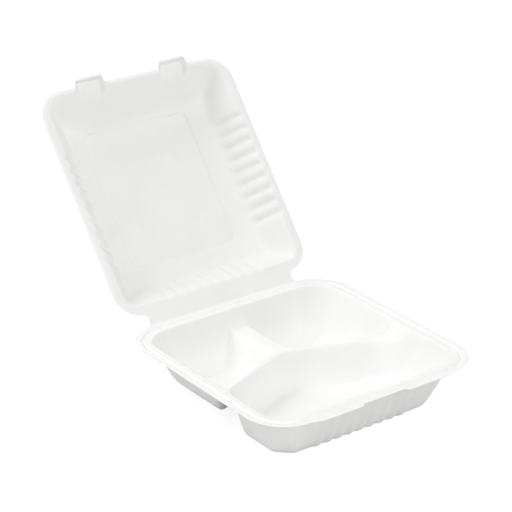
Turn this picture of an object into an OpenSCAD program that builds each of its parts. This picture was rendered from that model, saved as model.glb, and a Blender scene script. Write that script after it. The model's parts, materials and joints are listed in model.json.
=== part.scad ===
// Hinged clamshell food container, pressed from plant fibre in one thin wall.
// The tray has three compartments. The lid swings on a hinge strip along the tray's
// back edge, and is drawn as it stands open. Millimetres, +Z up, the tray on z = 0,
// the origin under the middle of the tray, the hinge at +Y.

/* [Tray] */
// Width of the tray's flange, side to side
tray_w = 230; // [215:1:245]
// Depth of the tray's flange, from its hinge edge to its plain front edge
tray_d = 228; // [215:1:245]
// Height of the tray, from its underside to the top of its flange
tray_h = 46.5; // [38:0.5:55]
// Wall thickness of the tray
tray_wall = 0.8; // [0.6:0.1:1.2]
// Corner radius of the tray's flange
tray_corner = 38; // [32:1:44]
// Width of the tray's flange, from its edge to the well
flange_w = 14.5; // [12:0.5:17]
// Distance of the flange's groove from its edge
groove_in = 7; // [5:0.5:9]
// Depth of the flange's groove
groove_depth = 1.4; // [0.6:0.1:1.8]
// Width of the flange's groove
groove_w = 4; // [3:0.5:5]
// How far the tray's walls lean in, from the flange to the floor
wall_run = 17.5; // [14:0.5:22]
// How much further the side walls lean in at the back compartments
side_in = 5; // [0:0.5:8]
// Cut across each front corner of the floor
corner_cut = 12.5; // [8:0.5:18]
// Cut across each back corner of the floor
back_cut = 8.5; // [5:0.5:12]
// Turn of the back corners' cuts, from square to the back wall
back_turn = 32; // [25:1:45]

/* [Compartments] */
// Height of the front divider above the floor
divider_h = 32.5; // [20:0.5:38]
// How much lower the back divider is, where it meets the back wall
mid_drop = 3; // [0:0.5:6]
// Place of the front divider's crest, behind the middle of the tray
arm_y = 24; // [12:1:32]
// How much the front divider's two arms slope forward
arm_slope = 0.42; // [0.2:0.02:0.5]
// Length over which the two arms turn into each other
arm_bend = 15; // [8:1:30]
// Width of the front divider's crest
arm_w = 7; // [4:0.5:10]
// Cut across the corners between the front divider and the side walls
arm_cut = 9; // [4:1:14]
// Width of the back divider's crest
mid_w = 20; // [12:0.5:26]
// How far a divider's faces spread on each side, from its crest to the floor
divider_run = 10; // [8:0.5:14]

/* [Lugs and tabs] */
// Distance of each lug and tab from the middle of the front edge
lug_x = 46; // [42:1:50]
// Width of the lugs on the tray's front flange
lug_w = 42; // [38:1:46]
// How far the lugs stand out from the tray's plain front edge
lug_out = 3.5; // [2:0.5:5]
// Width of the tabs on the lid's front flange
tab_w = 27; // [24:1:30]
// How far the tabs stand out from the lid's front edge
tab_out = 7; // [6:0.5:9]
// How far the tabs' lips hang below the lid's flange
tab_drop = 1.5; // [1:0.5:2.5]
// Height of the hollow behind each tab, above the lid's flange
tab_rise = 3.5; // [2.5:0.5:5]

/* [Lid] */
// Width of the lid's flange, side to side
lid_w = 211; // [205:1:220]
// Height of the lid's panel above its flange
lid_h = 32; // [26:1:38]
// Wall thickness of the lid
lid_wall = 0.6; // [0.5:0.1:0.8]
// Corner radius of the lid's flange
lid_corner = 25; // [22:1:30]
// Width of the lid's flange at its sides and hinge
lid_flange = 9.4; // [8:0.2:11]
// Width of the lid's flange at its front
lid_front_flange = 4.8; // [4:0.2:6]
// Height that the edge of the lid's flange curls up
lid_curl = 1.2; // [0.4:0.1:1.8]
// How far the lid's walls lean in, for each millimetre that they rise
lid_lean = 0.78; // [0.7:0.02:0.84]
// The same for the lid's front wall
lid_front_lean = 1; // [0.8:0.02:1.1]
// Width of the lid's panel
panel_w = 117; // [109:1:124]
// Depth of the lid's panel
panel_d = 136; // [129:1:143]
// Height of the step round the panel
panel_step = 1.4; // [0.6:0.1:2]
// Width of the raised square in the panel
square_w = 66; // [50:1:76]
// Depth of the raised square in the panel
square_d = 80; // [60:1:90]
// Height of the raised square
square_step = 0.7; // [0.4:0.1:1.2]

/* [Ribs] */
// Number of ribs along each ribbed wall
rib_count = 9; // [5:1:9]
// Distance from one rib of the tray to the next
tray_rib_pitch = 11.4; // [9:0.2:12]
// Height of the tray's ribs
tray_rib = 1.9; // [0.8:0.1:2.6]
// Distance from one rib of the lid to the next
lid_rib_pitch = 12.6; // [10:0.2:12.8]
// Height of the ribs at the lid's sides
lid_rib = 2.6; // [1:0.1:3.4]
// Height of the ribs at the lid's hinge
lid_back_rib = 1.8; // [0.8:0.1:2]

/* [Hinge] */
// Width of the hinge strip, from the tray to the lid's flange
strip_w = 11; // [9:0.5:13]
// Distance of the hinge strip's ends from the middle
strip_end = 79; // [76:0.5:80]
// Angle that the lid stands open, from closed
open_angle = 129; // [60:1:180]
// Gap between the closed lid and the tray, and along the hinge line
clearance = 0.3; // [0.2:0.05:0.5]

/* [Hidden] */
fibre = [0.96, 0.96, 0.95];
probe = 0.02;               // step used to measure a surface's slope
corner_steps = 3;           // lines from a straight side's end to the middle of a corner

// Tray: its half sizes, its floor and the blends between its surfaces
tray_hw = tray_w / 2;
tray_hd = tray_d / 2;
tray_rise = tray_h - tray_wall;
floor_hw = tray_hw - flange_w - wall_run;
floor_hd = tray_hd - flange_w - wall_run;
floor_corner = tray_corner - flange_w - wall_run;
floor_sum = floor_hw + floor_hd - corner_cut;
rim_sum = tray_hw + tray_hd - 2 * flange_w - (tray_corner - flange_w) * (2 - sqrt(2));
corner_slack = 2;           // how far the corner cuts stay outside the rim's round corners
arm_foot = arm_w / 2 + divider_run;
mid_foot = mid_w / 2 + divider_run;
back_floor = back_reach(floor_hw, floor_hd) - back_cut;
back_rim = back_reach(tray_hw - tray_corner, tray_hd - tray_corner)
    + tray_corner - flange_w + corner_slack;
floor_blend = 8;            // where the walls meet the front compartment's floor
back_blend = 18;            // where they meet the back compartments' floors
foot_blend = 20;            // where the dividers meet the floors
corner_blend = 5;
cut_blend = 14;             // where the front divider meets the cuts at its ends
crest_blend = 13;
end_blend = 34;             // where the front divider meets the side walls
mid_blend = 10;             // where the back divider meets the back wall
junction_blend = 24;
mid_run = 50;               // length over which the back divider comes down
rim_blend = 3.5;

// Lid: places in its own frame, with the hinge axis at y = 0 and the front at -Y
hinge_y = tray_hd + clearance / 2;
hinge_z = tray_h + clearance / 2;
lid_hw = lid_w / 2;
lid_back = -strip_w;
lid_front = -clearance / 2 - tray_d - lug_out;
lid_mid = (lid_back + lid_front) / 2;
lid_hd = (lid_back - lid_front) / 2;
panel_y = lid_mid - 4.7;
panel_corner = 9;
square_y = panel_y + 5;
square_corner = 12;
rib_y = lid_mid + 2.8;
panel_top = lid_h - panel_step - square_step;
shoulder_slope = 0.31;      // height lost for each millimetre outside the panel
lid_corner_cut = 9;         // how far the dome's corners are cut, past its round corners
lid_blend = 3;
curl_w = 4.2;               // width of the curl along the edge of the lid's flange
step_run = 2.2;             // width of the slope round the panel and the raised square
hollow_slope = 4;           // steepness of the walls of the hollow behind each tab
hollow_lean = 0.25;         // rise of that hollow's roof for each millimetre inwards
hollow_reach = 16;          // length over which the roof rises
tab_rim = 2.4;              // width of the rim round the hollow
lug_taper = 3;              // length over which a lug or tab stands out
below = -50;                // a height far under every surface

// Smooth minimum and maximum: two surfaces meet in a fillet where they are within k
function smin(a, b, k) = let (h = max(k - abs(a - b), 0)) min(a, b) - h * h / (4 * k);
function smax(a, b, k) = let (h = max(k - abs(a - b), 0)) max(a, b) + h * h / (4 * k);
function mix(a, b, t) = a + (b - a) * t;
function ramp(t) = let (c = min(max(t, 0), 1)) c * c * (3 - 2 * c);

// Distance inwards from the edge of a rectangle with round corners
function inset(x, y, hw, hd, r) =
    let (qx = abs(x) - hw + r, qy = abs(y) - hd + r)
    r - norm([max(qx, 0), max(qy, 0)]) - min(max(qx, qy), 0);

// Ribs of a wall: how far it stands out at a place along it, 0 between and past them
function rib(s, pitch, depth) =
    abs(s) > rib_count * pitch / 2 ? 0
    : depth * (1 - cos(360 * (s / pitch + rib_count / 2))) / 2;

// 1 across a lug or tab of width w on either side of the middle, 0 elsewhere
function lug(x, w) = ramp((w / 2 + lug_taper - abs(abs(x) - lug_x)) / lug_taper);

// Tray: heights of the well's walls, the dividers and the whole upper surface
function behind(x, y) = ramp((y - crest(x)) / arm_foot + 0.5);
function wall_rise(x, y) =
    let (lean = side_in * behind(x, y),
         xs = floor_hw + (abs(x) - floor_hw + lean) * wall_run / (wall_run + lean),
         ys = y + (y < 0 ? rib(x, tray_rib_pitch, tray_rib) : 0))
    -inset(xs, ys, floor_hw, floor_hd, floor_corner) * tray_rise / wall_run;
function back_reach(x, y) = abs(x) * sin(back_turn) + abs(y) * cos(back_turn);
function corner_rise(x, y) =
    y < 0 ? (abs(x) + abs(y) - floor_sum) * tray_rise / (rim_sum + corner_slack - floor_sum)
    : let (t = (back_reach(x, y) - back_floor) / (back_rim - back_floor))
      tray_rise * smin(1.2 * t, 0.79 + (t - 0.66) * 0.62, 0.12);
function crest(x) = arm_y - arm_slope * (sqrt(x * x + arm_bend * arm_bend) - arm_bend);
function face(d) = d * divider_h / divider_run;
function front_pocket(x, y) =
    let (d = y - crest(x) + arm_foot, cut = (d + abs(x) - floor_hw + arm_cut) / sqrt(2))
    smax(0, smax(face(d), face(cut), cut_blend), foot_blend);
function back_pocket(x, y) =
    smax(smax(0, face(crest(x) + arm_foot - y), foot_blend),
         face(mid_foot - abs(x)), junction_blend);
function dividers(x, y) =
    smin(smin(front_pocket(x, y), back_pocket(x, y), crest_blend),
         divider_h - mid_drop * ramp((y - crest(x)) / mid_run), crest_blend);
function wall_blend(x, y, share) =
    mix(mix(floor_blend, back_blend, behind(x, y)),
        mix(mid_blend, end_blend, ramp(abs(x) / mid_foot - 1)), share);
function well(x, y) =
    let (d = dividers(x, y))
    smax(smax(wall_rise(x, y), corner_rise(x, y), corner_blend), d,
         wall_blend(x, y, ramp(2.5 * d / divider_h)));
function groove(x, y) =
    let (s = (inset(x, y, tray_hw, tray_hd, tray_corner) - groove_in) / groove_w)
    abs(s) > 0.5 ? 0 : -groove_depth * (1 + cos(360 * s)) / 2;
function tray_top(x, y) =
    tray_h + smin(groove(x, y), well(x, y) - tray_rise, rim_blend);

// Lid: heights of its dome, the hollows behind its tabs and its whole lower surface
function dome(x, y) =
    let (at_front = y < lid_mid,
         sx = lid_hw - lid_flange - abs(x) + rib(y - rib_y, lid_rib_pitch, lid_rib),
         sy = at_front ? (y - lid_front - lid_front_flange) * lid_lean / lid_front_lean
            : lid_back - lid_flange - y + rib(x, lid_rib_pitch, lid_back_rib),
         corner = (lid_hw + (at_front ? lid_mid - lid_front : lid_back - lid_mid)
            - abs(x) - abs(y - lid_mid)) / sqrt(2) - lid_corner_cut - lid_flange,
         wall = smin(smin(sx, sy, 4), corner, 4) / lid_lean,
         out = -inset(x, y - panel_y, panel_w / 2, panel_d / 2, panel_corner))
    smin(wall, panel_top - max(out, 0) * shoulder_slope, lid_blend);
function hollow(x, y) =
    let (across = (tab_w / 2 - abs(abs(x) - lug_x)) * hollow_slope,
         along = (y - lid_front + tab_out - tab_rim) * hollow_slope,
         roof = tab_rise + min(y - lid_front, hollow_reach) * hollow_lean)
    y > lid_mid ? below : smin(smin(across, along, 1.5), roof, 2);
function lip(x, y) =
    y > lid_mid ? 0 : -tab_drop * lug(x, tab_w) * ramp((lid_front - 1 - y) / (tab_out - 3));
function raised(x, y, w, d, r) = ramp(inset(x, y, w / 2, d / 2, r) / step_run);
function curl(x, y) =
    let (t = min(max(1 - inset(x, y - lid_mid, lid_hw, lid_hd, lid_corner) / curl_w, 0), 1))
    lid_curl * t * t * (1 - lug(x, tab_w)) * ramp((lid_back - 3 - y) / 16);
function lid_under(x, y) =
    clearance / 2 + curl(x, y) + smax(smax(lip(x, y), dome(x, y), 2), hollow(x, y), 1)
    + panel_step * raised(x, y - panel_y, panel_w, panel_d, panel_corner)
    + square_step * raised(x, y - square_y, square_w, square_d, square_corner);

// The two skins of a sheet: points on a surface, and the same pushed along its slope
function skins(height, plan, wall) =
    let (pairs = [for (p = plan)
        let (z = height(p.x, p.y),
             n = [z - height(p.x + probe, p.y), z - height(p.x, p.y + probe), probe])
        [[p.x, p.y, z], [p.x, p.y, z] + wall * n / norm(n)]])
    [[for (q = pairs) q[0]], [for (q = pairs) q[1]]];

// Stations round an outline, from the front's left end: places on the four sides, and
// the corners between them as angles. Each side is [outer end, inner places, outer end]
function corner_angles(a) =
    [for (i = [1:2 * corner_steps - 1]) ["corner", a + 45 * i / corner_steps]];
function places(name, list) = [for (s = list) [name, s]];
function reversed(list) = [for (i = [len(list) - 1:-1:0]) list[i]];
function stations(front, side, back) = concat(
    places("front", front), corner_angles(270), places("right", side), corner_angles(0),
    places("back", reversed(back)), corner_angles(90), places("left", reversed(side)),
    corner_angles(180));

// A place on one side: kept as it is where the side is long enough, else drawn in
function along(s, list, lo, hi) =
    let (n = len(list), a = list[1], b = list[n - 2], gap = (hi - lo) * 0.04,
         la = max(a, lo + gap), hb = min(b, hi - gap))
    s < a ? mix(lo, la, (s - list[0]) / (a - list[0]))
    : s > b ? mix(hb, hi, (s - b) / (list[n - 1] - b))
    : mix(la, hb, (s - a) / (b - a));

// Point of a round-cornered outline at a station
function outline_point(st, hw, front, back, r, across, deep) =
    let (name = st[0], s = st[1])
    name == "corner"
    ? [sign(cos(s)) * (hw - r) + r * cos(s), (sin(s) < 0 ? front + r : back - r) + r * sin(s)]
    : name == "front" ? [along(s, across, r - hw, hw - r), front]
    : name == "back" ? [along(s, across, r - hw, hw - r), back]
    : [(name == "right" ? 1 : -1) * hw, along(s, deep, front + r, back - r)];

// Triangles between two rings, of the same number of points, outer ring first
function band(a, b) = let (n = len(a)) [for (i = [0:n - 1]) let (j = (i + 1) % n)
    each [[a[i], b[i], b[j]], [a[i], b[j], a[j]]]];
function run_of(start, n) = [for (i = [0:n - 1]) start + i];

// A closed sheet: the upper skin's faces, the same under them, and its outer edge
module sheet(upper, lower, faces, edge) {
    n = len(upper);
    polyhedron(concat(upper, lower), concat(faces,
        [for (f = faces) [f[2] + n, f[1] + n, f[0] + n]],
        band([for (e = edge) e + n], edge)));
}

// Tray: lines across it, at the corners, the lugs' ends and the ribs' crests and feet
straight_x = tray_hw - tray_corner;
straight_y = tray_hd - tray_corner;
lug_reach = lug_x + lug_w / 2;
rib_places = [for (i = [0:2 * rib_count]) (i - rib_count) * tray_rib_pitch / 2];
rib_reach = rib_count * tray_rib_pitch / 2;
grid_hw = floor_hw - 1;
grid_hd = floor_hd - 1;
edge_lines = corner_steps + 3;
grid_xs = concat([for (i = [0:edge_lines - 1]) mix(-grid_hw, -rib_reach, i / edge_lines)],
    rib_places, [for (i = [1:edge_lines]) mix(rib_reach, grid_hw, i / edge_lines)]);
// Lines from front to back, as shares of the front pocket and of the back pockets
front_shares = [0, 0.12, 0.24, 0.42, 0.76];
back_shares = [0.24, 0.44, 0.62, 0.76, 0.88, 1];
// Reach of the fillets at a divider's crest and at its foot, on each side of the edge
fillet = 2.4;
foot = min(0.2 + foot_blend * divider_run / divider_h, divider_run - fillet - 0.6);
function grid_ys(x) =
    let (c = crest(x), f = c - arm_foot, b = c + arm_foot, h = arm_w / 2)
    concat([for (s = front_shares) mix(-grid_hd, f, s)],
        [f - foot, f + foot, c - h - fillet, c - h + fillet],
        [c + h - fillet, c + h + fillet, b - foot, b + foot],
        [for (s = back_shares) mix(b, grid_hd, s)]);
grid_columns = [for (x = grid_xs) grid_ys(x)];
nx = len(grid_xs);
ny = len(grid_columns[0]);
tray_grid = [for (j = [0:ny - 1]) for (i = [0:nx - 1]) [grid_xs[i], grid_columns[i][j]]];

// The same lines' ends on the flange
tray_across = concat([-straight_x, -lug_reach - lug_taper, -lug_reach], rib_places,
    [lug_reach, lug_reach + lug_taper, straight_x]);
rim_lines = grid_ys(tray_hw - flange_w - 1);
tray_deep = concat([-straight_y],
    [for (j = [corner_steps + 1:ny - corner_steps - 2]) rim_lines[j]], [straight_y]);
tray_stations = stations(tray_across, tray_deep, tray_across);
tray_n = len(tray_stations);

// The grid's rim in the order of the stations, from the front's left straight end
grid_rim = let (turn = corner_steps)
    concat([for (i = [turn:nx - 1]) i], [for (j = [1:ny - 1]) j * nx + nx - 1],
        [for (i = [nx - 2:-1:0]) (ny - 1) * nx + i], [for (j = [ny - 2:-1:0]) j * nx],
        [for (i = [1:1:turn - 1]) i]);

// Rings from the grid outwards: shares of the wall, then distances from the edge
wall_shares = [0.2, 0.42, 0.65, 0.85, 0.96];
edge_insets = [flange_w - 1.2, groove_in + groove_w / 2, groove_in,
    groove_in - groove_w / 2, 0];
function tray_outline(st, in) = outline_point(st, tray_hw - in, in - tray_hd,
    tray_hd - in, tray_corner - in, tray_across, tray_deep);
function tray_edge(st, in) =
    let (p = tray_outline(st, in))
    in == 0 && p.y < 0 ? p - [0, lug_out * lug(p.x, lug_w)] : p;
tray_rings = len(wall_shares) + len(edge_insets);
tray_plan = concat(tray_grid,
    [for (share = wall_shares) for (i = [0:tray_n - 1])
        mix(tray_grid[grid_rim[i]], tray_outline(tray_stations[i], flange_w + 1), share)],
    [for (in = edge_insets) for (st = tray_stations) tray_edge(st, in)]);

module tray() {
    height = function (x, y) tray_top(x, y);
    skin = skins(height, tray_plan, -tray_wall);
    cells = [for (j = [0:ny - 2]) for (i = [0:nx - 2]) let (a = j * nx + i)
        each [[a, a + nx, a + nx + 1], [a, a + nx + 1, a + 1]]];
    rings = concat([grid_rim],
        [for (k = [0:tray_rings - 1]) run_of(nx * ny + k * tray_n, tray_n)]);
    color(fibre)
        sheet(skin[0], skin[1],
            concat(cells, [for (k = [0:tray_rings - 1]) each band(rings[k + 1], rings[k])]),
            rings[tray_rings]);
}

// Lid: places along its sides, at the tabs' edges and the ribs' crests and feet
tab_places = [for (e = [-tab_w / 2 - lug_taper, -tab_w / 2, 2.3 - tab_w / 2, 0,
    tab_w / 2 - 2.3, tab_w / 2, tab_w / 2 + lug_taper]) e];
lid_rib_places = [for (i = [0:2 * rib_count]) (i - rib_count) * lid_rib_pitch / 2];
lid_straight = lid_hw - lid_corner;
lid_fronts = concat([-lid_straight], [for (e = tab_places) e - lug_x], [-15, 0, 15],
    [for (e = tab_places) e + lug_x], [lid_straight]);
lid_sides = concat([lid_front + lid_corner], [for (s = lid_rib_places) s + rib_y],
    [lid_back - lid_corner]);
lid_backs = concat([-lid_straight, -strip_end], lid_rib_places, [strip_end, lid_straight]);
lid_stations = stations(lid_fronts, lid_sides, lid_backs);
lid_n = len(lid_stations);

// Rings of the lid's flange: distance from its edge at the sides and at the front
flange_rings = [[0, 0], [1, tab_rim], [curl_w, (lid_front_flange - 1 + tab_rim) / 2],
    [lid_flange - 1, lid_front_flange - 1]];
// Rings of the dome, as shares of the way from the flange to the panel, then inwards
dome_shares = [0.06, 0.2, 0.4, 0.62, 0.8, 1];
function dome_outline(st, t) =
    outline_point(st, mix(lid_hw - lid_flange, panel_w / 2, t),
        mix(lid_front + lid_front_flange, panel_y - panel_d / 2, t),
        mix(lid_back - lid_flange, panel_y + panel_d / 2, t),
        mix(lid_corner - lid_flange, 5, t),
        st[0] == "back" ? lid_backs : lid_fronts, lid_sides);
function flange_outline(st, in) =
    let (p = outline_point(st, lid_hw - in[0], lid_front + in[1], lid_back - in[0],
        lid_corner - in[0], st[0] == "back" ? lid_backs : lid_fronts, lid_sides))
    in[0] == 0 && st[0] == "back" && abs(st[1]) <= strip_end ? [p.x, -clearance / 2]
    : p.y < lid_mid ? p - [0, tab_out * lug(p.x, tab_w)] : p;
function square_outline(st, yc, w, d, r) =
    outline_point(st, w / 2, yc - d / 2, yc + d / 2, r,
        st[0] == "back" ? lid_backs : lid_fronts, lid_sides);
lid_plan = concat(
    [for (in = flange_rings) for (st = lid_stations) flange_outline(st, in)],
    [for (t = dome_shares) for (st = lid_stations) dome_outline(st, t)],
    [for (st = lid_stations) square_outline(st, panel_y, panel_w - 2 * step_run,
        panel_d - 2 * step_run, panel_corner - step_run)],
    [for (st = lid_stations) square_outline(st, square_y, square_w, square_d,
        square_corner)],
    [for (st = lid_stations) square_outline(st, square_y, square_w - 2 * step_run,
        square_d - 2 * step_run, square_corner - step_run)],
    [[0, square_y]]);
lid_rings = len(flange_rings) + len(dome_shares) + 3;

module lid() {
    height = function (x, y) lid_under(x, y);
    skin = skins(height, lid_plan, lid_wall);
    rings = [for (k = [0:lid_rings - 1]) run_of(k * lid_n, lid_n)];
    middle = lid_rings * lid_n;
    inner = rings[lid_rings - 1];
    color(fibre) translate([0, hinge_y, hinge_z]) rotate([-open_angle, 0, 0])
        sheet(skin[1], skin[0],
            concat([for (k = [0:lid_rings - 2]) each band(rings[k], rings[k + 1])],
                [for (i = [0:lid_n - 1]) [inner[i], middle, inner[(i + 1) % lid_n]]]),
            rings[0]);
}

tray();
lid();
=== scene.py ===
"""A hinged clamshell food container of moulded plant fibre, as it stands open.

The shapes are worked out in millimetres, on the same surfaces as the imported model, and
scaled to metres when a mesh is made.
"""
import json
import math

import bpy
import numpy as np
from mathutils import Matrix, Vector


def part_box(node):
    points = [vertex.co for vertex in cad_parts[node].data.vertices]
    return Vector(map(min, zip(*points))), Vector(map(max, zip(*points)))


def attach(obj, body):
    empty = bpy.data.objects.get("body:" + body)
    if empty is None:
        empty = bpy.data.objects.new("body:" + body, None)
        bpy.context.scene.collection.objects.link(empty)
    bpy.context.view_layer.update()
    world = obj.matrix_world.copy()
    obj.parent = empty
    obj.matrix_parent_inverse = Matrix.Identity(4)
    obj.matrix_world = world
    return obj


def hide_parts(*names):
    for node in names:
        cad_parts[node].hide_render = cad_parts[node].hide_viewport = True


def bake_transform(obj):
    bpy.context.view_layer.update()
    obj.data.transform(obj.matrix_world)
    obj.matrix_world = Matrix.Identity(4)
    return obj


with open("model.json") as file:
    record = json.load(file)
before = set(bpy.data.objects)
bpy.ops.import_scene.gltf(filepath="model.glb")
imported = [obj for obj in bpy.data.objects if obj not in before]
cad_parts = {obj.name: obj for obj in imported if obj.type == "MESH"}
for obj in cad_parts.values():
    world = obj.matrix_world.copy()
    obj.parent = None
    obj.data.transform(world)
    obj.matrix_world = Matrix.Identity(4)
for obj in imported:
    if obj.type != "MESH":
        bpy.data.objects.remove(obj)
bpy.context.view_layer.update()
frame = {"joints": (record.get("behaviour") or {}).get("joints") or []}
MM = 0.001

# Camera
# The photograph's view: from the front left, a little above, with a long lens. The
# azimuth turns from straight behind the front edge, and the aim is the picture's middle.
view_azimuth = math.radians(-36.52)
view_elevation = math.radians(23.73)
view_distance = 1.768
view_lens = 142.4
view_aim = np.array([-0.0128, 0.0485, 0.1198])

towards_camera = np.array([
    math.sin(view_azimuth) * math.cos(view_elevation),
    -math.cos(view_azimuth) * math.cos(view_elevation),
    math.sin(view_elevation)])
camera_data = bpy.data.cameras.new("camera")
camera_data.lens = view_lens
camera_data.sensor_width = 36.0
camera_data.clip_end = 50.0
camera = bpy.data.objects.new("camera", camera_data)
camera.location = view_aim + view_distance * towards_camera
camera.rotation_euler = (math.pi / 2 - view_elevation, 0.0, view_azimuth)
bpy.context.scene.collection.objects.link(camera)
bpy.context.scene.camera = camera

# Moulded fibre
# The whole container is one sheet of bagasse pulp, pressed wet against a wire mesh. Its
# finish is a matt warm white, with fine fibres, a soft felt and faint cloudy patches.
fibre_white = (0.872, 0.872, 0.862, 1.0)
fibre_shade = (0.822, 0.820, 0.800, 1.0)

fibre = bpy.data.materials.new("moulded_fibre")
fibre.use_nodes = True
nodes, links = fibre.node_tree.nodes, fibre.node_tree.links
shader = nodes["Principled BSDF"]
shader.inputs["Roughness"].default_value = 0.82
shader.inputs["Specular IOR Level"].default_value = 0.28
shader.inputs["Sheen Weight"].default_value = 0.06
shader.inputs["Sheen Roughness"].default_value = 0.6
place = nodes.new("ShaderNodeTexCoord")

# Cloudy patches where the pulp lay thicker, a few centimetres across
clouds = nodes.new("ShaderNodeTexNoise")
clouds.inputs["Scale"].default_value = 26.0
clouds.inputs["Detail"].default_value = 4.0
links.new(place.outputs["Object"], clouds.inputs["Vector"])

# Loose fibres: noise drawn out into short streaks, with only its peaks kept
stretch = nodes.new("ShaderNodeMapping")
stretch.inputs["Rotation"].default_value = (0.4, 0.3, 0.7)
stretch.inputs["Scale"].default_value = (1.0, 5.0, 1.6)
links.new(place.outputs["Object"], stretch.inputs["Vector"])
streaks = nodes.new("ShaderNodeTexNoise")
streaks.inputs["Scale"].default_value = 420.0
streaks.inputs["Detail"].default_value = 3.0
links.new(stretch.outputs["Vector"], streaks.inputs["Vector"])
peaks = nodes.new("ShaderNodeMapRange")
peaks.inputs["From Min"].default_value = 0.58
peaks.inputs["From Max"].default_value = 0.80
links.new(streaks.outputs["Fac"], peaks.inputs["Value"])

# The felt of the pressed pulp, finer than a millimetre
felt = nodes.new("ShaderNodeTexNoise")
felt.inputs["Scale"].default_value = 900.0
felt.inputs["Detail"].default_value = 5.0
felt.inputs["Roughness"].default_value = 0.65
links.new(place.outputs["Object"], felt.inputs["Vector"])

shade = nodes.new("ShaderNodeMix")
shade.data_type = "RGBA"
shade.inputs["A"].default_value = fibre_white
shade.inputs["B"].default_value = fibre_shade
amount = nodes.new("ShaderNodeMath")
amount.operation = "MULTIPLY_ADD"
amount.inputs[1].default_value = 0.55
cloud_part = nodes.new("ShaderNodeMapRange")
cloud_part.inputs["From Min"].default_value = 0.38
cloud_part.inputs["From Max"].default_value = 0.72
cloud_part.inputs["To Max"].default_value = 0.45
links.new(clouds.outputs["Fac"], cloud_part.inputs["Value"])
links.new(peaks.outputs["Result"], amount.inputs[0])
links.new(cloud_part.outputs["Result"], amount.inputs[2])
links.new(amount.outputs["Value"], shade.inputs["Factor"])
links.new(shade.outputs["Result"], shader.inputs["Base Color"])

felt_bump = nodes.new("ShaderNodeBump")
felt_bump.inputs["Strength"].default_value = 0.22
felt_bump.inputs["Distance"].default_value = 0.00012
links.new(felt.outputs["Fac"], felt_bump.inputs["Height"])
cloud_bump = nodes.new("ShaderNodeBump")
cloud_bump.inputs["Strength"].default_value = 0.25
cloud_bump.inputs["Distance"].default_value = 0.0012
links.new(clouds.outputs["Fac"], cloud_bump.inputs["Height"])
links.new(felt_bump.outputs["Normal"], cloud_bump.inputs["Normal"])
links.new(cloud_bump.outputs["Normal"], shader.inputs["Normal"])

# Tray
# The lower half of the sheet: a flange with a grooved bead, a ribbed front wall, two
# lugs that the lid's tabs catch on, and hollow ridges that part three compartments.
low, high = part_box("tray")
joint = frame["joints"][0]
hinge_y = joint["pos_m"][1] / MM
hinge_z = joint["pos_m"][2] / MM
tray_hw = (high.x - low.x) / 2 / MM
tray_hd = high.y / MM
tray_top_z = high.z / MM
lug_out = -low.y / MM - tray_hd
tray_wall = 0.8
tray_rise = tray_top_z - tray_wall
tray_corner = 38.0
flange_w = 14.5
groove_in, groove_w, groove_depth = 7.0, 4.0, 1.4
wall_run, side_in = 17.5, 5.0
corner_cut, back_cut, back_turn = 12.5, 8.5, math.radians(32)
# A back corner's cut is steep up to a knee, then easier, in shares of its run and rise
back_steep, back_easy = 1.2, 0.62
knee_at, knee_rise, knee_blend = 0.66, 0.79, 0.12
divider_h = 32.5
arm_y, arm_slope, arm_bend, arm_w = 24.0, 0.42, 15.0, 7.0
mid_w, mid_drop, mid_run = 20.0, 3.0, 50.0
arm_cut, cut_blend = 9.0, 14.0
divider_run = 10.0
lug_x, lug_w, lug_taper = 46.0, 42.0, 3.0
rib_count = 9
tray_rib_pitch, tray_rib = 11.4, 1.9
floor_blend, back_blend, foot_blend = 8.0, 18.0, 20.0
corner_blend, crest_blend, end_blend, mid_blend = 5.0, 13.0, 34.0, 10.0
junction_blend, rim_blend = 24.0, 3.5
blend_rate = 2.5
floor_hw = tray_hw - flange_w - wall_run
floor_hd = tray_hd - flange_w - wall_run
floor_corner = tray_corner - flange_w - wall_run
floor_sum = floor_hw + floor_hd - corner_cut
rim_sum = tray_hw + tray_hd - 2 * flange_w - (tray_corner - flange_w) * (2 - math.sqrt(2))
corner_slack = 2.0
back_floor = floor_hw * math.sin(back_turn) + floor_hd * math.cos(back_turn) - back_cut
back_rim = ((tray_hw - tray_corner) * math.sin(back_turn)
            + (tray_hd - tray_corner) * math.cos(back_turn) + tray_corner - flange_w + corner_slack)
arm_foot = arm_w / 2 + divider_run
mid_foot = mid_w / 2 + divider_run


def smooth_min(a, b, k):
    """The lower of two heights, rounded by k/4 where they are equal and untouched past k."""
    h = np.maximum(k - np.abs(a - b), 0)
    return np.minimum(a, b) - h * h / (4 * k)


def smooth_max(a, b, k):
    """The higher of two heights, rounded in the same way."""
    h = np.maximum(k - np.abs(a - b), 0)
    return np.maximum(a, b) + h * h / (4 * k)


def ramp(t):
    """0 below 0, 1 above 1, and an S curve of 3t^2 - 2t^3 between."""
    c = np.clip(t, 0, 1)
    return c * c * (3 - 2 * c)


def inset(x, y, hw, hd, r):
    """Distance inwards from the edge of a rectangle of half sizes hw, hd and corners r."""
    qx, qy = np.abs(x) - hw + r, np.abs(y) - hd + r
    return r - np.hypot(np.maximum(qx, 0), np.maximum(qy, 0)) - np.minimum(np.maximum(qx, qy), 0)


def rib(s, pitch, depth, sharpness=1.0):
    """How far a ribbed wall stands out at a place along it: a raised cosine to a power."""
    wave = (1 - np.cos(2 * np.pi * (s / pitch + rib_count / 2))) / 2
    return np.where(np.abs(s) > rib_count * pitch / 2, 0, depth * wave ** sharpness)


def lug(x, width):
    """1 across a lug or tab on either side of the middle, 0 past an S curve at its ends."""
    return ramp((width / 2 + lug_taper - np.abs(np.abs(x) - lug_x)) / lug_taper)


def crest(x):
    """Line of the front ridge: two straight arms that lean forward, joined by a hyperbola."""
    return arm_y - arm_slope * (np.sqrt(x * x + arm_bend ** 2) - arm_bend)


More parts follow.
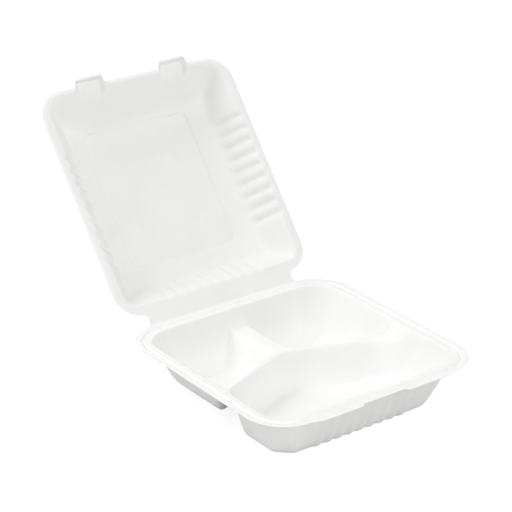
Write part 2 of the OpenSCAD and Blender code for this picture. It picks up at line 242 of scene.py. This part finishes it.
def tray_height(x, y):
    """Height of the tray's upper surface.

    The well is the smooth maximum of a cone round the floor's outline, a cut across each
    corner, and the ridges, with a wide fillet round the back floors and at the front
    ridge's ends. A ridge is the smooth minimum of the pockets on its two sides and of its
    crest, and the front pocket is cut across at 45 degrees at its two far corners. The
    fillet at a ridge's ends widens with the ridge's height, blend_rate times as fast. The
    flange is the smooth minimum of the well and a plane with a groove of one cosine wave.
    """
    at_back = ramp((y - crest(x)) / arm_foot + 0.5)
    out_x = floor_hw + ((np.abs(x) - floor_hw + side_in * at_back)
                        * wall_run / (wall_run + side_in * at_back))
    out_y = y + np.where(y < 0, rib(x, tray_rib_pitch, tray_rib), 0)
    wall = -inset(out_x, out_y, floor_hw, floor_hd, floor_corner) * tray_rise / wall_run
    front_cut = ((np.abs(x) + np.abs(y) - floor_sum) * tray_rise
                 / (rim_sum + corner_slack - floor_sum))
    way = ((np.abs(x) * math.sin(back_turn) + np.abs(y) * math.cos(back_turn) - back_floor)
           / (back_rim - back_floor))
    easy = knee_rise + (way - knee_at) * back_easy
    corner = np.where(y < 0, front_cut,
                      tray_rise * smooth_min(back_steep * way, easy, knee_blend))
    steep = divider_h / divider_run
    rise = (y - crest(x) + arm_foot) * steep
    cut = (rise + (np.abs(x) - floor_hw + arm_cut) * steep) / math.sqrt(2)
    front = smooth_max(0, smooth_max(rise, cut, cut_blend), foot_blend)
    behind = smooth_max(0, (crest(x) + arm_foot - y) * steep, foot_blend)
    behind = smooth_max(behind, (mid_foot - np.abs(x)) * steep, junction_blend)
    top = divider_h - mid_drop * ramp((y - crest(x)) / mid_run)
    ridge = smooth_min(smooth_min(front, behind, crest_blend), top, crest_blend)
    at_floor = floor_blend + (back_blend - floor_blend) * at_back
    at_ridge = mid_blend + (end_blend - mid_blend) * ramp(np.abs(x) / mid_foot - 1)
    blend = at_floor + (at_ridge - at_floor) * ramp(blend_rate * ridge / divider_h)
    well = smooth_max(smooth_max(wall, corner, corner_blend), ridge, blend)
    across = (inset(x, y, tray_hw, tray_hd, tray_corner) - groove_in) / groove_w
    groove = np.where(np.abs(across) > 0.5, 0,
                      -groove_depth * (1 + np.cos(2 * np.pi * across)) / 2)
    return tray_top_z + smooth_min(groove, well - tray_rise, rim_blend)


side_gap = 0.04


def side_line(lines, lo, hi, r):
    """Places along one side of a round-cornered outline, and how far in from it they lie.

    lines holds, for each line, its turn and its place. Where turn is 0 the line meets the
    straight side at its place, drawn in evenly where the side is too short for that, and
    at least side_gap of the side's length from the arcs.
    Elsewhere it meets the corner's arc, 45 degrees times turn from the straight end.
    """
    turn, s = lines
    straight = s[turn == 0]
    ends = [straight[0], straight[1], straight[-2], straight[-1]]
    gap = (hi - lo) * side_gap
    goals = [lo + r, max(ends[1], lo + r + gap), min(ends[2], hi - r - gap), hi - r]
    angle = np.radians(45) * np.abs(turn)
    reach = r * np.sin(angle)
    place = np.where(turn < 0, lo + r - reach,
                     np.where(turn > 0, hi - r + reach, np.interp(s, ends, goals)))
    return place, r * (1 - np.cos(angle))


def round_outline(hw, front, back, r, across, deep):
    """A ring of points on a round-cornered rectangle, anticlockwise from its front left.

    Each side's places come from its lines, and its corners bend in by the arc's sagitta.
    """
    x, in_y = side_line(across, -hw, hw, r)
    y, in_x = side_line(deep, front, back, r)
    px = np.concatenate([x[:-1], hw - in_x[:-1], x[:0:-1], -hw + in_x[:0:-1]])
    py = np.concatenate([front + in_y[:-1], y[:-1], back - in_y[:0:-1], y[:0:-1]])
    return np.stack([px, py], axis=1)


def line_set(corner_lines, places):
    """Lines across a sheet: evenly turned ones at each end, with the given places between."""
    turns = np.arange(corner_lines, 0, -1) / corner_lines
    zero = np.zeros(corner_lines)
    return (np.concatenate([-turns, np.zeros(len(places)), turns[::-1]]),
            np.concatenate([zero, places, zero]))


def ring_quads(outer, inner):
    """Quads between two rings of point numbers, facing up when the rings turn anticlockwise."""
    return np.stack([outer, np.roll(outer, -1), np.roll(inner, -1), inner], axis=1)


slope_step = 0.01


def pressed_sheet(name, plan, quads, caps, edge, height, wall, round_in, place):
    """A closed sheet of even thickness, from a plan and a height over it.

    Each point is lifted to the height and pushed by half the wall to each side, along the
    surface's normal (the slopes by central differences). The outer edge is a half ellipse
    round the middle of the wall, round_in deep.
    """
    x, y = plan[:, 0], plan[:, 1]
    step = slope_step
    slope_x = (height(x + step, y) - height(x - step, y)) / (2 * step)
    slope_y = (height(x, y + step) - height(x, y - step)) / (2 * step)
    normal = np.stack([-slope_x, -slope_y, np.ones_like(x)], axis=1)
    normal /= np.linalg.norm(normal, axis=1)[:, None]
    skin = np.stack([x, y, height(x, y)], axis=1)
    other = skin + wall * normal
    upper, lower = (skin, other) if wall < 0 else (other, skin)
    count = len(plan)

    ring = plan[edge]
    along = np.roll(ring, -1, axis=0) - np.roll(ring, 1, axis=0)
    out = np.stack([along[:, 1], -along[:, 0], np.zeros(len(edge))], axis=1)
    out /= np.linalg.norm(out, axis=1)[:, None]
    middle = (upper[edge] + lower[edge]) / 2
    half = (upper[edge] - lower[edge]) / 2
    angles = np.radians([45.0, 0.0, -45.0])
    rims = [middle + math.sin(a) * half + math.cos(a) * round_in * out for a in angles]

    points = np.concatenate([upper, lower] + rims)
    n = len(edge)
    belts = [2 * count + k * n + np.arange(n) for k in range(len(rims))]
    rows = [edge] + belts + [edge + count]
    sides = [ring_quads(b, a) for a, b in zip(rows[:-1], rows[1:])]
    faces = np.concatenate([quads, quads[:, ::-1] + count] + sides).tolist()
    faces += [list(cap) for cap in caps]
    faces += [[i + count for i in reversed(cap)] for cap in caps]

    mesh = bpy.data.meshes.new(name)
    mesh.from_pydata(place(points) * MM, [], faces)
    mesh.update()
    mesh.polygons.foreach_set("use_smooth", [True] * len(mesh.polygons))
    mesh.materials.append(fibre)
    piece = bpy.data.objects.new(name, mesh)
    bpy.context.scene.collection.objects.link(piece)
    return piece


# The grid's edge lies inside the floor's outline, and its corners have their own lines
grid_in, grid_corner, fillet = 5.0, 6.0, 5.0
grid_hw, grid_hd = floor_hw - grid_in, floor_hd - grid_in
inner_hw, inner_hd = grid_hw - grid_corner, grid_hd - grid_corner
rib_reach = rib_count * tray_rib_pitch / 2
straight_x, straight_y = tray_hw - tray_corner, tray_hd - tray_corner
corner_lines, lines_per_rib, side_count = 10, 8, 17
rib_lines = np.linspace(-rib_reach, rib_reach, rib_count * lines_per_rib + 1)
side_lines = np.linspace(rib_reach, straight_x, side_count + 1)[1:]
tray_xs = np.concatenate([-side_lines[::-1], rib_lines, side_lines])
tray_across = line_set(corner_lines, tray_xs)
inner_lines = np.interp(side_lines, [rib_reach, straight_x], [rib_reach, inner_hw])
half_lines = np.concatenate([inner_lines, np.linspace(inner_hw, grid_hw, corner_lines + 1)[1:]])
grid_xs = np.concatenate([-half_lines[::-1], rib_lines, half_lines])

# Lines from front to back: the front pocket, the ridge with its fillets, the back pockets
ridge_lines = 44
pocket_lines = 22


def grid_rows(x):
    """Places of the lines from front to back at each x: they follow the front ridge."""
    first, last = crest(x) - arm_foot - fillet, crest(x) + arm_foot + fillet
    corner = np.linspace(0, grid_corner, corner_lines + 1)[:, None]
    pocket = np.linspace(0, 1, pocket_lines)[1:, None]
    front = -inner_hd + (first + inner_hd) * pocket[:-1]
    ridge = first + (last - first) * np.linspace(0, 1, ridge_lines)[:, None]
    back = last + (inner_hd - last) * pocket
    return np.concatenate([corner - grid_hd + 0 * x, front, ridge, back,
                           inner_hd + corner[1:] + 0 * x])


tray_grid_y = grid_rows(grid_xs)
rows, columns = tray_grid_y.shape
tray_grid = np.stack([np.broadcast_to(grid_xs, tray_grid_y.shape), tray_grid_y], axis=2)
well_in = flange_w + 1.0
rim_places = grid_rows(np.array([tray_hw - well_in]))[:, 0]
deep_places = rim_places[corner_lines:rows - corner_lines]
deep_places[0], deep_places[-1] = -straight_y, straight_y
tray_deep = line_set(corner_lines, deep_places)
number = np.arange(rows * columns).reshape(rows, columns)
grid_rim = np.concatenate([number[0, :-1], number[:-1, -1], number[-1, :0:-1], number[:0:-1, 0]])


lug_fade = 6.0


def tray_ring(into):
    """The tray's outline, drawn in by a distance, with the lugs standing out at its front."""
    ring = round_outline(tray_hw - into, into - tray_hd, tray_hd - into, tray_corner - into,
                         tray_across, tray_deep)
    reach = lug_out * lug(ring[:, 0], lug_w) * np.clip(1 - into / lug_fade, 0, 1)
    ring[:, 1] -= np.where(ring[:, 1] < 0, reach, 0)
    return ring


edge_round = 0.25
flange_insets = np.concatenate([[edge_round, 0.8, 2.0, 3.5], np.arange(4.75, 9.3, 0.375),
                                np.arange(9.8, flange_w + 0.9, 0.4)])
wall_shares = np.concatenate([np.linspace(1.0, 0.82, 8)[1:], np.linspace(0.82, 0.42, 10)[1:],
                              np.linspace(0.42, 0.0, 15)[1:-1]])
tray_rings = [tray_ring(into) for into in flange_insets]
well_ring = tray_ring(well_in)
inner_ring = tray_grid.reshape(-1, 2)[grid_rim]
tray_rings += [well_ring]
tray_rings += [inner_ring + (well_ring - inner_ring) * share for share in wall_shares]
ring_size = len(grid_rim)
ring_numbers = [rows * columns + k * ring_size + np.arange(ring_size)
                for k in range(len(tray_rings))] + [grid_rim]
tray_quads = [ring_quads(a, b) for a, b in zip(ring_numbers[:-1], ring_numbers[1:])]
tray_quads += [np.stack([number[:-1, :-1], number[:-1, 1:], number[1:, 1:], number[1:, :-1]],
                        axis=2).reshape(-1, 4)]
tray = pressed_sheet("tray_shell", np.concatenate([tray_grid.reshape(-1, 2)] + tray_rings),
                     np.concatenate(tray_quads), [], ring_numbers[0], tray_height, -tray_wall,
                     edge_round, lambda p: p)
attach(tray, "tray")
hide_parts("tray")

# Lid
# The upper half of the sheet, a shallow dome: its wall is ribbed at the sides and at the
# hinge, its panel is stepped with a raised square, and two tabs with hollow backs stand
# out at its front. Its flange curls up at the edge, and carries on as the hinge strip.
low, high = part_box("lid")
lid_hw = (high.x - low.x) / 2 / MM
open_angle = math.radians(-joint["range_deg"][0])
clearance = 2 * (hinge_y - tray_hd)
lid_wall = 0.6
lid_h = 32.0
lid_corner = 25.0
lid_flange, lid_front_flange = 9.4, 4.8
lid_lean, lid_front_lean = 0.78, 1.0
panel_w, panel_d, panel_corner, panel_step = 117.0, 136.0, 9.0, 1.4
square_w, square_d, square_corner, square_step = 66.0, 80.0, 12.0, 0.7
lid_rib_pitch, lid_rib, lid_back_rib, lid_rib_power = 12.6, 2.6, 1.8, 1.3
tab_w, tab_out, tab_drop, tab_rise = 27.0, 7.0, 1.5, 3.5
strip_w = 11.0
lid_back = -strip_w
lid_front = -clearance / 2 - 2 * tray_hd - lug_out
lid_mid, lid_hd = (lid_back + lid_front) / 2, (lid_back - lid_front) / 2
panel_off, square_off, rib_off = -4.7, 5.0, 2.8
panel_y = lid_mid + panel_off
square_y = panel_y + square_off
rib_y = lid_mid + rib_off
panel_top = lid_h - panel_step - square_step
shoulder_slope = 0.31
lid_corner_cut = 9.0
lid_curl, curl_w = 1.2, 4.2
curl_start, curl_fade = 3.0, 16.0
lip_start, lip_run = 1.0, 4.0
step_run = 1.6
hollow_slope, hollow_lean, hollow_reach, tab_rim = 4.0, 0.25, 16.0, 2.4
dome_blend, shoulder_blend, lip_blend = 4.0, 3.0, 2.0
hollow_side_blend, hollow_roof_blend, hollow_edge_blend = 1.5, 2.0, 1.0
far_below = -50.0


def lid_height(x, y):
    """Height of the lid's lower surface over its flange, in the closed lid's own frame.

    The dome is the smooth minimum of four leaning walls, a cut across each corner and a
    shoulder that rises to the panel. The tabs' lips and the hollows behind the tabs join
    it by a smooth maximum, and the panel's and the square's steps are S curves of the
    distance inwards.
    The flange curls up at its edge along a parabola, except at the tabs and the hinge.
    """
    at_front = y < lid_mid
    side = lid_hw - lid_flange - np.abs(x)
    side += rib(y - rib_y, lid_rib_pitch, lid_rib, lid_rib_power)
    end = np.where(at_front, (y - lid_front - lid_front_flange) * lid_lean / lid_front_lean,
                   lid_back - lid_flange - y
                   + rib(x, lid_rib_pitch, lid_back_rib, lid_rib_power))
    half_depth = np.where(at_front, lid_mid - lid_front, lid_back - lid_mid)
    corner = ((lid_hw + half_depth - np.abs(x) - np.abs(y - lid_mid)) / math.sqrt(2)
              - lid_corner_cut - lid_flange)
    wall = smooth_min(smooth_min(side, end, dome_blend), corner, dome_blend) / lid_lean
    outside = -inset(x, y - panel_y, panel_w / 2, panel_d / 2, panel_corner)
    shoulder = panel_top - np.maximum(outside, 0) * shoulder_slope
    dome = smooth_min(wall, shoulder, shoulder_blend)
    across = (tab_w / 2 - np.abs(np.abs(x) - lug_x)) * hollow_slope
    along = (y - lid_front + tab_out - tab_rim) * hollow_slope
    roof = tab_rise + np.minimum(y - lid_front, hollow_reach) * hollow_lean
    hollow = smooth_min(smooth_min(across, along, hollow_side_blend), roof, hollow_roof_blend)
    hollow = np.where(at_front, hollow, far_below)
    lip = np.where(at_front, -tab_drop * lug(x, tab_w)
                   * ramp((lid_front - lip_start - y) / lip_run), 0)
    panel = ramp(inset(x, y - panel_y, panel_w / 2, panel_d / 2, panel_corner) / step_run)
    square = ramp(inset(x, y - square_y, square_w / 2, square_d / 2, square_corner) / step_run)
    edge = np.clip(1 - inset(x, y - lid_mid, lid_hw, lid_hd, lid_corner) / curl_w, 0, 1)
    curl = (lid_curl * edge ** 2 * (1 - lug(x, tab_w))
            * ramp((lid_back - curl_start - y) / curl_fade))
    shell = smooth_max(smooth_max(lip, dome, lip_blend), hollow, hollow_edge_blend)
    return clearance / 2 + curl + shell + panel_step * panel + square_step * square


def stand_open(points):
    """Turns points of the closed lid about the hinge, backwards by the open angle."""
    x, y, z = points.T
    c, s = math.cos(open_angle), math.sin(open_angle)
    return np.stack([x, hinge_y + y * c + z * s, hinge_z - y * s + z * c], axis=1)


lines_across, lines_deep = 104, 109
lid_xs = np.linspace(lid_corner - lid_hw, lid_hw - lid_corner, lines_across)
lid_ys = np.linspace(lid_front + lid_corner, lid_back - lid_corner, lines_deep)
lid_across, lid_deep = line_set(corner_lines, lid_xs), line_set(corner_lines, lid_ys)
strip_inner, strip_outer = 74.0, 85.5
strip_reach, strip_neck = 82.0, 4.5
strip_turn, strip_take = strip_w + 0.3, 4.0


def lid_ring(side_in, front_in, tab_share, strip_share):
    """The lid's outline drawn in at its sides and front, with its tabs and hinge strip.

    The places within strip_take of the back edge slide from there to the hinge line, and
    the strip's ends are arcs that run smoothly into the flange's corners.
    """
    ring = round_outline(lid_hw - side_in, lid_front + front_in, lid_back - side_in,
                         lid_corner - side_in, lid_across, lid_deep)
    x, y = ring[:, 0].copy(), ring[:, 1].copy()
    y -= np.where(y < lid_mid, tab_out * tab_share * lug(x, tab_w), 0)
    if strip_share > 0:
        s = np.abs(x)
        hinge_x = np.interp(s, [0, strip_inner], [0, strip_reach])
        turn = np.pi * np.clip((s - strip_inner) / (strip_outer - strip_inner), 0, 1)
        end_x = strip_reach - strip_neck * np.sin(turn) + (strip_outer - strip_reach) * turn / np.pi
        end_y = -clearance / 2 - edge_round - strip_turn * (1 - np.cos(turn)) / 2
        goal_x = np.sign(x) * np.where(s < strip_inner, hinge_x, end_x)
        on_strip = (s < strip_outer) & (y > lid_back - strip_take)
        share = np.where(on_strip, strip_share, 0)
        x += (goal_x - x) * share
        y += (end_y - y) * share
    return np.stack([x, y], axis=1)


# Stations over the flange: how far in at the sides and front, and the shares of tab and strip
stations = np.array([
    [edge_round, edge_round, 1.0, 1.0],
    [edge_round + 0.75, edge_round + 2.0, 1.0, 0.0],
    [lid_flange - 1.0, lid_front_flange - 0.5, 1.0, 0.0],
    [lid_flange + 0.5, lid_front_flange + 1.0, 0.0, 0.0]])
rings_between = (9, 8, 4)
flange_stops = [np.linspace(a, b, n + 1)[1:]
                for a, b, n in zip(stations[:-1], stations[1:], rings_between)]
lid_rings = [lid_ring(*stop) for stop in np.concatenate([stations[:1]] + flange_stops)]
panel_round = 5.0


def dome_ring(t):
    """A ring on the dome, from the flange at 0 to the panel's edge at 1."""
    return round_outline(
        lid_hw - lid_flange + t * (panel_w / 2 - lid_hw + lid_flange),
        lid_front + lid_front_flange + t * (panel_y - panel_d / 2 - lid_front - lid_front_flange),
        lid_back - lid_flange + t * (panel_y + panel_d / 2 - lid_back + lid_flange),
        lid_corner - lid_flange + t * (panel_round - lid_corner + lid_flange),
        lid_across, lid_deep)


def panel_ring(y, w, d, r, into):
    """A ring round a step in the panel, drawn in by a distance, with corners of 2 or more."""
    return round_outline(w / 2 - into, y - d / 2 + into, y + d / 2 - into, max(r - into, 2.0),
                         lid_across, lid_deep)


panel_slack, square_slack = 0.4, 0.3
lid_rings += [dome_ring(t) for t in np.linspace(0.06, 1, 30)]
lid_rings += [panel_ring(panel_y, panel_w, panel_d, panel_corner, into)
              for into in np.linspace(panel_slack, step_run + panel_slack, 7)]
square_rings = [panel_ring(square_y, square_w, square_d, square_corner, into)
                for into in np.linspace(-square_slack, step_run + square_slack, 8)]
last_panel = lid_rings[-1]
lid_rings += [last_panel + (square_rings[0] - last_panel) * t for t in (0.25, 0.5, 0.75)]
lid_rings += square_rings
lid_n = len(lid_rings[0])
lid_numbers = [k * lid_n + np.arange(lid_n) for k in range(len(lid_rings))]
lid_quads = [ring_quads(a, b) for a, b in zip(lid_numbers[:-1], lid_numbers[1:])]
lid = pressed_sheet("lid_shell", np.concatenate(lid_rings), np.concatenate(lid_quads),
                    [lid_numbers[-1].tolist()], lid_numbers[0], lid_height, lid_wall,
                    edge_round, stand_open)
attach(lid, "lid")
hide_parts("lid")

# Fold
# The score line where the sheet bends, a narrow band between the tray's back edge and the
# hinge strip. It follows the tray at one side and the lid at the other.
fold_in, fold_end_in = 0.9, 0.6
fold_half = strip_reach - fold_end_in
fold_rows, fold_columns = 13, 60
upper_pull, lower_pull = 1.4, 2.0


def fold_profile(start, start_slope, end, end_slope):
    """A cubic Hermite curve in the YZ plane from start to end, with the given slopes."""
    t = np.linspace(0, 1, fold_rows)
    weights = (2 * t ** 3 - 3 * t ** 2 + 1, t ** 3 - 2 * t ** 2 + t,
               3 * t ** 2 - 2 * t ** 3, t ** 3 - t ** 2)
    return sum(np.outer(w, v)
               for w, v in zip(weights, (start, start_slope, end, end_slope)))


def strip_point(y, z):
    """A point of the open hinge strip, given in the closed lid's own frame."""
    return stand_open(np.array([[0.0, y, z]]))[0, 1:]


sunk = 0.04
strip_way = strip_point(-1.0, 0) - strip_point(0, 0)
upper_line = fold_profile(
    (tray_hd - fold_in, tray_top_z - sunk), (upper_pull, 0.0),
    strip_point(-fold_in, clearance / 2 + sunk), upper_pull * strip_way)
lower_line = fold_profile(
    (tray_hd - fold_in, tray_top_z - tray_wall + sunk), (lower_pull, 0.0),
    strip_point(-fold_in, clearance / 2 + lid_wall - sunk), lower_pull * strip_way)
loop = np.concatenate([upper_line, lower_line[::-1]])
fold_xs = np.linspace(-fold_half, fold_half, fold_columns)
fold_points = np.column_stack([np.repeat(fold_xs, len(loop)), np.tile(loop, (fold_columns, 1))])
belt = np.arange(len(fold_points)).reshape(fold_columns, len(loop))
beside = np.roll(belt, -1, axis=1)
fold_quads = np.stack([belt[:-1], beside[:-1], beside[1:], belt[1:]], axis=2)
fold_faces = fold_quads.reshape(-1, 4).tolist() + [belt[0, ::-1].tolist(), belt[-1].tolist()]
fold_mesh = bpy.data.meshes.new("hinge_fold")
fold_mesh.from_pydata(fold_points * MM, [], fold_faces)
fold_mesh.update()
fold_mesh.materials.append(fibre)
fold = bpy.data.objects.new("hinge_fold", fold_mesh)
bpy.context.scene.collection.objects.link(fold)
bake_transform(fold)

# Floor
# A plain white sweep that throws light back up under the container. The camera sees it
# lifted to white, with the container's shadow still on it, faintly.
floor_reach = 6
lit_tone, seen_tone, seen_lift = 0.85, 0.17, 0.88
floor_corners = [(a * floor_reach, b * floor_reach, 0)
                 for a, b in ((-1, -1), (1, -1), (1, 1), (-1, 1))]
floor_mesh = bpy.data.meshes.new("floor")
floor_mesh.from_pydata(floor_corners, [], [(0, 1, 2, 3)])
floor = bpy.data.objects.new("floor", floor_mesh)
bpy.context.scene.collection.objects.link(floor)
paper = bpy.data.materials.new("backdrop_white")
paper.use_nodes = True
nodes, links = paper.node_tree.nodes, paper.node_tree.links
matte = nodes["Principled BSDF"]
matte.inputs["Roughness"].default_value = 1.0
matte.inputs["Specular IOR Level"].default_value = 0.0
seen = nodes.new("ShaderNodeLightPath")
direct_view = nodes.new("ShaderNodeMath")
direct_view.operation = "MAXIMUM"
links.new(seen.outputs["Is Camera Ray"], direct_view.inputs[0])
links.new(seen.outputs["Is Glossy Ray"], direct_view.inputs[1])
tone = nodes.new("ShaderNodeMix")
tone.data_type = "RGBA"
tone.inputs["A"].default_value = (lit_tone, lit_tone, lit_tone, 1.0)
tone.inputs["B"].default_value = (seen_tone, seen_tone, seen_tone, 1.0)
links.new(direct_view.outputs["Value"], tone.inputs["Factor"])
links.new(tone.outputs["Result"], matte.inputs["Base Color"])
lift = nodes.new("ShaderNodeMath")
lift.operation = "MULTIPLY"
lift.inputs[1].default_value = seen_lift
links.new(direct_view.outputs["Value"], lift.inputs[0])
matte.inputs["Emission Color"].default_value = (1.0, 1.0, 1.0, 1.0)
links.new(lift.outputs["Value"], matte.inputs["Emission Strength"])
floor_mesh.materials.append(paper)

# Light
# Studio light: a soft key from the back left, over the lid's shoulder, a broad fill from
# the front, a weak one from the right, and a little even light from the white room.
world = bpy.data.worlds.new("room")
bpy.context.scene.world = world
world.use_nodes = True
nodes, links = world.node_tree.nodes, world.node_tree.links
sky = nodes["Background"]
sky.inputs["Color"].default_value = (1.0, 1.0, 1.0, 1.0)
seen = nodes.new("ShaderNodeLightPath")
strength = nodes.new("ShaderNodeMapRange")
strength.inputs["To Min"].default_value = 0.29
strength.inputs["To Max"].default_value = 1.0
links.new(seen.outputs["Is Camera Ray"], strength.inputs["Value"])
links.new(strength.outputs["Result"], sky.inputs["Strength"])

# Each lamp's azimuth turns from the front to the right, its elevation is above the floor
for name, azimuth, elevation, spread, power in (
        ("key", 232, 46, 36, 1.77),
        ("front_fill", 0, 45, 60, 1.49),
        ("right_fill", 90, 15, 60, 0.49)):
    lamp_data = bpy.data.lights.new(name, "SUN")
    lamp_data.angle = math.radians(spread)
    lamp_data.energy = power
    lamp = bpy.data.objects.new(name, lamp_data)
    lamp.rotation_euler = (math.radians(90 - elevation), 0.0, math.radians(azimuth))
    bpy.context.scene.collection.objects.link(lamp)

bpy.context.scene.view_settings.view_transform = "Standard"
